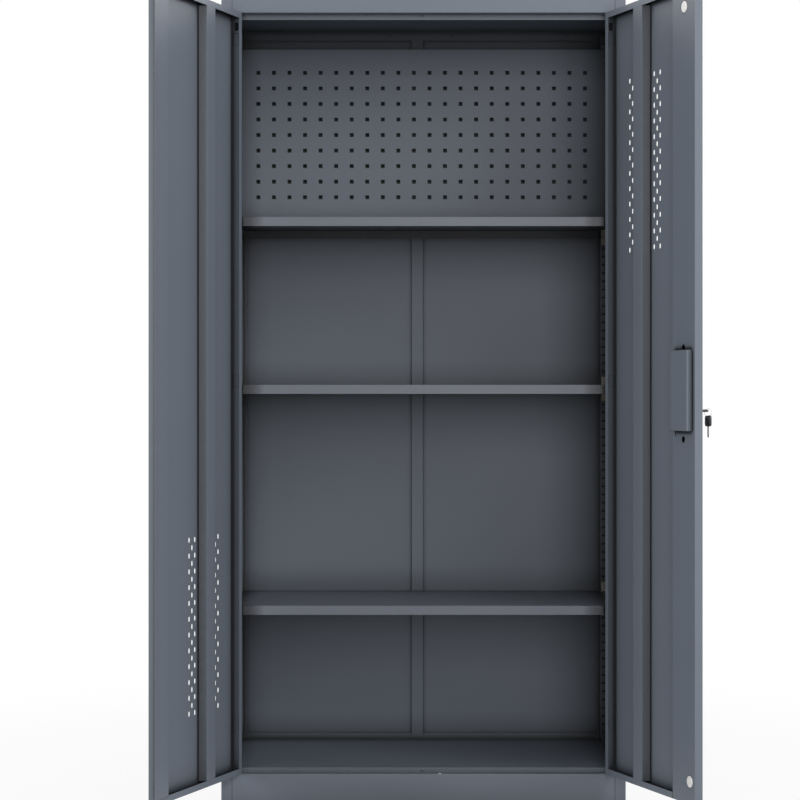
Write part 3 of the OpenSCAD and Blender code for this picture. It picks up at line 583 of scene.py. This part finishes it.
def moulded(name, colour, roughness, grain_depth):
    """Moulded plastic: even colour, a fine spark-eroded grain and slightly uneven gloss."""
    plastic = Finish(name)
    grain = plastic.noise(1500.0, detail=2.0)
    bloom = plastic.noise(45.0, detail=2.0)
    tone = plastic.blend(bloom, shade(colour, 0.92), shade(colour, 1.08))
    plastic.surface(Base_Color=tone, Roughness=roughness + 0.10 * (bloom - 0.5),
                    Normal=plastic.bump(grain, grain_depth, 0.5), IOR=1.48)
    return plastic.material


white_cap = moulded("white_cap_plastic", (0.78, 0.78, 0.76), 0.32, 0.000015)
cap_chamfer = 0.0002
cap_rim = 0.0003
crown_r, crown_h = 0.80, 0.92
# The crown's top, in shares of the radius and the height, with the gate's small pit.
crown_top = ((0.45, 0.98), (0.16, 1.0), (0.12, 0.9))
for i, (low, high) in enumerate(inward.solids("stile_plugs")):
    middle = (low + high) / 2
    radius = (high[0] - low[0]) / 2
    cap_h = high[2] - low[2]
    profile = [(radius - cap_chamfer, 0), (radius, cap_rim)]
    profile += arc(radius, cap_rim, crown_r * radius, crown_h * cap_h, steps=6)[1:]
    profile += [(r * radius, z * cap_h) for r, z in crown_top]
    rings = turned(profile, (middle[0], middle[1], low[2]), sides=48)
    fitted(lofted("stile_cap_%d" % (i + 1), rings, inward, white_cap), "stile_plugs")


# ---- Latch rods, cam and the lock's nut -------------------------------------
# Zinc-plated rods run up and down inside the stile, with flat feet beside
# the two-armed cam that the key turns. A hex nut holds the lock's barrel.

bright_zinc = zinc_plate("bright_zinc_plate", (0.44, 0.46, 0.49), (0.62, 0.63, 0.64))
for name in ("latch_rod_upper", "latch_rod_lower", "lock_cam", "cam_screw", "lock_nut",
             "handle_screws"):
    eased(name, bright_zinc, width=0.0002)


# ---- Recessed handle --------------------------------------------------------
# One black moulding: a long face plate with soft edges and a deep finger cup
# that passes through the door, its walls drawn in a little towards the floor.

def rounded(width, height, r, middle, z, steps=8):
    """Ring round a rectangle with corners of radius r: four quarter turns about the
    corners' centres, joined by straight sides."""
    a = np.linspace(0, math.pi / 2, steps)
    turn = np.concatenate([a, a + math.pi / 2, a + math.pi, a + 1.5 * math.pi])
    right = np.repeat([1, -1, -1, 1], steps)
    up = np.repeat([1, 1, -1, -1], steps)
    x = middle[0] + right * (width / 2 - r) + r * np.cos(turn)
    y = middle[1] + up * (height / 2 - r) + r * np.sin(turn)
    return np.stack([x, y, z + 0 * x], axis=-1)


black_handle = moulded("black_handle_plastic", (0.018, 0.018, 0.020), 0.42, 0.00003)
low, high = outward.solids("recessed_handle")[0]
plate_w, plate_h = high[0] - low[0], high[1] - low[1]
plate_mid = (low + high)[:2] / 2
plate_top = high[2]
plate_thick = 0.003
plate_back = plate_top - plate_thick
plate_corner = 0.006
cup_w, cup_h = 0.044, 0.095
cup_above_lock = 0.013
cup_mid = (0.0, cup_above_lock + cup_h / 2)
cup_corner = 0.005
wall = 0.0015
edge_w, edge_h = 0.0016, 0.0012
lip_r = 0.0016
lip_draft, lip_depth = 0.0002, 0.004
draft, draft_foot = 0.0012, 0.006
floor_r, floor_h = 0.004, 0.0045


def plate_ring(inset, z):
    """The face plate's outline, drawn in by inset, at height z."""
    corner = plate_corner - 0.5 * inset
    return rounded(plate_w - 2 * inset, plate_h - 2 * inset, corner, plate_mid, z)


def cup_ring(inset, z):
    """The cup's outline, drawn in by inset, at height z."""
    return rounded(cup_w - 2 * inset, cup_h - 2 * inset, cup_corner, cup_mid, z)


# From the cup's outer bottom up behind the plate, over its edge, in over the
# cup's lip and down its drafted wall to the rounded floor.
quarter = np.linspace(0, math.pi / 2, 6)
rings = [cup_ring(0.0, low[2]), cup_ring(0.0, plate_back)]
rings += [plate_ring(0.0, plate_back), plate_ring(0.0, plate_top - edge_h)]
rings += [plate_ring(edge_w * (1 - math.cos(t)), plate_top - edge_h * (1 - math.sin(t)))
          for t in quarter[1:]]
rings += [cup_ring(wall - lip_r * math.cos(t), plate_top - lip_r * (1 - math.sin(t)))
          for t in quarter[::-1]]
rings += [cup_ring(wall + lip_draft, plate_top - lip_depth),
          cup_ring(wall + draft, low[2] + draft_foot)]
rings += [cup_ring(wall + draft + floor_r * (1 - math.cos(t)),
                   low[2] + wall + floor_h * (1 - math.sin(t))) for t in quarter]
fitted(lofted("finger_cup_handle", rings, outward, black_handle), "recessed_handle")


# ---- Lock: barrel and plug --------------------------------------------------
# A nickel-plated cylinder lock. Its barrel has a chamfered collar on the
# handle's face, and the plug with the keyway turns in it.

low, high = outward.solids("lock_barrel")[0]
collar_r = (high[0] - low[0]) / 2
collar_lip, collar_thick = 0.0025, 0.002
body_r = collar_r - collar_lip
bore_r = 0.00706
face = high[2]
collar_back = face - collar_thick
chamfer = 0.0007
# The face dishes in round the plug: how far outside the bore, how far below the face.
dish = ((0.0014, 0.0), (0.0009, 0.0004), (0.0, 0.0005))
profile = [(bore_r, low[2]), (body_r, low[2]), (body_r, collar_back), (collar_r, collar_back),
           (collar_r, face - chamfer), (collar_r - chamfer, face)]
profile += [(bore_r + outside, face - depth) for outside, depth in dish]
rings = turned(profile, (0, 0, 0), sides=64)
fitted(lofted("lock_barrel_turned", rings, outward, nickel, wrap=True), "lock_barrel")
eased("lock_plug", nickel, width=0.0003)


# ---- Keys and ring ----------------------------------------------------------
# Two nickel-plated keys with black moulded heads. One stands in the lock, the
# other hangs from it in a split ring of two turns of spring wire.

black_head = moulded("black_key_plastic", (0.012, 0.012, 0.013), 0.30, 0.00002)
hole_r = 0.0035
hole_from_end = 0.0045
head_corner = 0.006
# Roundings of the hole and the outer edge: how far from their lines, how far below the face.
hole_rounding = ((0.0, 0.0008), (0.0003, 0.0001), (0.0006, 0.0))
edge_rounding = ((0.0009, 0.0), (0.0003, 0.0003), (0.0, 0.0010))


def key_head(low, high):
    """Rings of a key's head: from the hole's rim across the front face to its rounded
    edge, round it to the back, and through the hole to the start."""
    length, width, thick = high - low
    middle = (low + high) / 2
    hole = (high[0] - hole_from_end, middle[1])
    half = thick / 2

    def hole_ring(spread, z):
        r = hole_r + spread
        return rounded(2 * r, 2 * r, 0.999 * r, hole, middle[2] + z)

    def edge_ring(inset, z):
        corner = head_corner - 0.6 * inset
        return rounded(length - 2 * inset, width - 2 * inset, corner, middle[:2],
                       middle[2] + z)

    front = [hole_ring(spread, half - depth) for spread, depth in hole_rounding]
    front += [edge_ring(inset, half - depth) for inset, depth in edge_rounding]
    flipped = [ring * (1, 1, -1) + (0, 0, 2 * middle[2]) for ring in reversed(front)]
    return front + flipped


cut_count = 5.0
cut_share = 0.20
cuts_from, cuts_to = 0.12, 0.95
tip_length, tip_share = 0.08, 0.35


def key_blade(low, high):
    """Rings of a key's blade along x: the section keeps a milled groove on both sides,
    and its upper edge rises and falls in a zigzag of cuts behind the tapered tip."""
    length, width, thick = high - low
    middle = (low + high) / 2
    t = np.linspace(0, 1, 41)
    cuts = cut_share * width * (1 - abs(2 * ((t * cut_count) % 1) - 1))
    cuts = np.where((t < cuts_from) | (t > cuts_to), 0.0, cuts)
    taper = tip_share + (1 - tip_share) * np.clip(t / tip_length, 0, 1)
    top = (width / 2 - cuts) * taper
    bottom = -width / 2 * taper
    span = np.array([0.0, 0.06, 0.30, 0.40, 0.50, 0.60, 0.94, 1.0])
    depth = np.array([0.55, 1.0, 1.0, 0.5, 0.5, 1.0, 1.0, 0.55]) * thick / 2
    y = bottom[:, None] + (top - bottom)[:, None] * np.concatenate([span, span[::-1]])
    z = np.concatenate([depth, -depth[::-1]]) + 0 * y
    x = low[0] + length * t[:, None] + 0 * y
    return np.stack([x, middle[1] + y, middle[2] + z], axis=-1)


key_nickel = bright_steel("key_nickel", colour=(0.20, 0.195, 0.19), roughness=0.34)
in_lock = Place(lock_place, lock_axis, skyward.cross(lock_axis))
hanging = Place(lock_place, skyward, lock_axis.cross(skyward))
for place, prefix in ((in_lock, ""), (hanging, "spare_")):
    low, high = place.solids(prefix + "key_head")[0]
    piece = lofted(prefix + "moulded_head", key_head(low, high), place, black_head, wrap=True)
    fitted(piece, prefix + "key_head")
    low, high = place.solids(prefix + "key_blade")[0]
    piece = lofted(prefix + "milled_blade", key_blade(low, high), place, key_nickel)
    fitted(piece, prefix + "key_blade")


def split_ring(radius, centre, wire=0.00055, flat=0.00030, turns=1.96, steps=150,
               sides=10):
    """Tube round a helix: its middle climbs one wire's width a turn along the third
    direction, and its section is an ellipse, taller outward than along the climb."""
    t = np.linspace(0, turns * 2 * math.pi, steps)
    climb = 2 * flat * (t / (2 * math.pi) - turns / 2)
    a = np.linspace(0, 2 * math.pi, sides, endpoint=False)
    r = radius + wire * np.cos(a)[None, :]
    x = r * np.cos(t)[:, None]
    y = r * np.sin(t)[:, None]
    z = climb[:, None] + flat * np.sin(a)[None, :]
    return np.stack([x, y, z], axis=-1) + centre


sideways = Place(lock_place, lock_axis, skyward)
low, high = sideways.solids("key_ring")[0]
wire_margin = 0.0006
ring_radius = (high[0] - low[0]) / 2 - wire_margin
rings = split_ring(ring_radius, (low + high) / 2)
fitted(lofted("split_key_ring", rings, sideways, nickel), "key_ring")
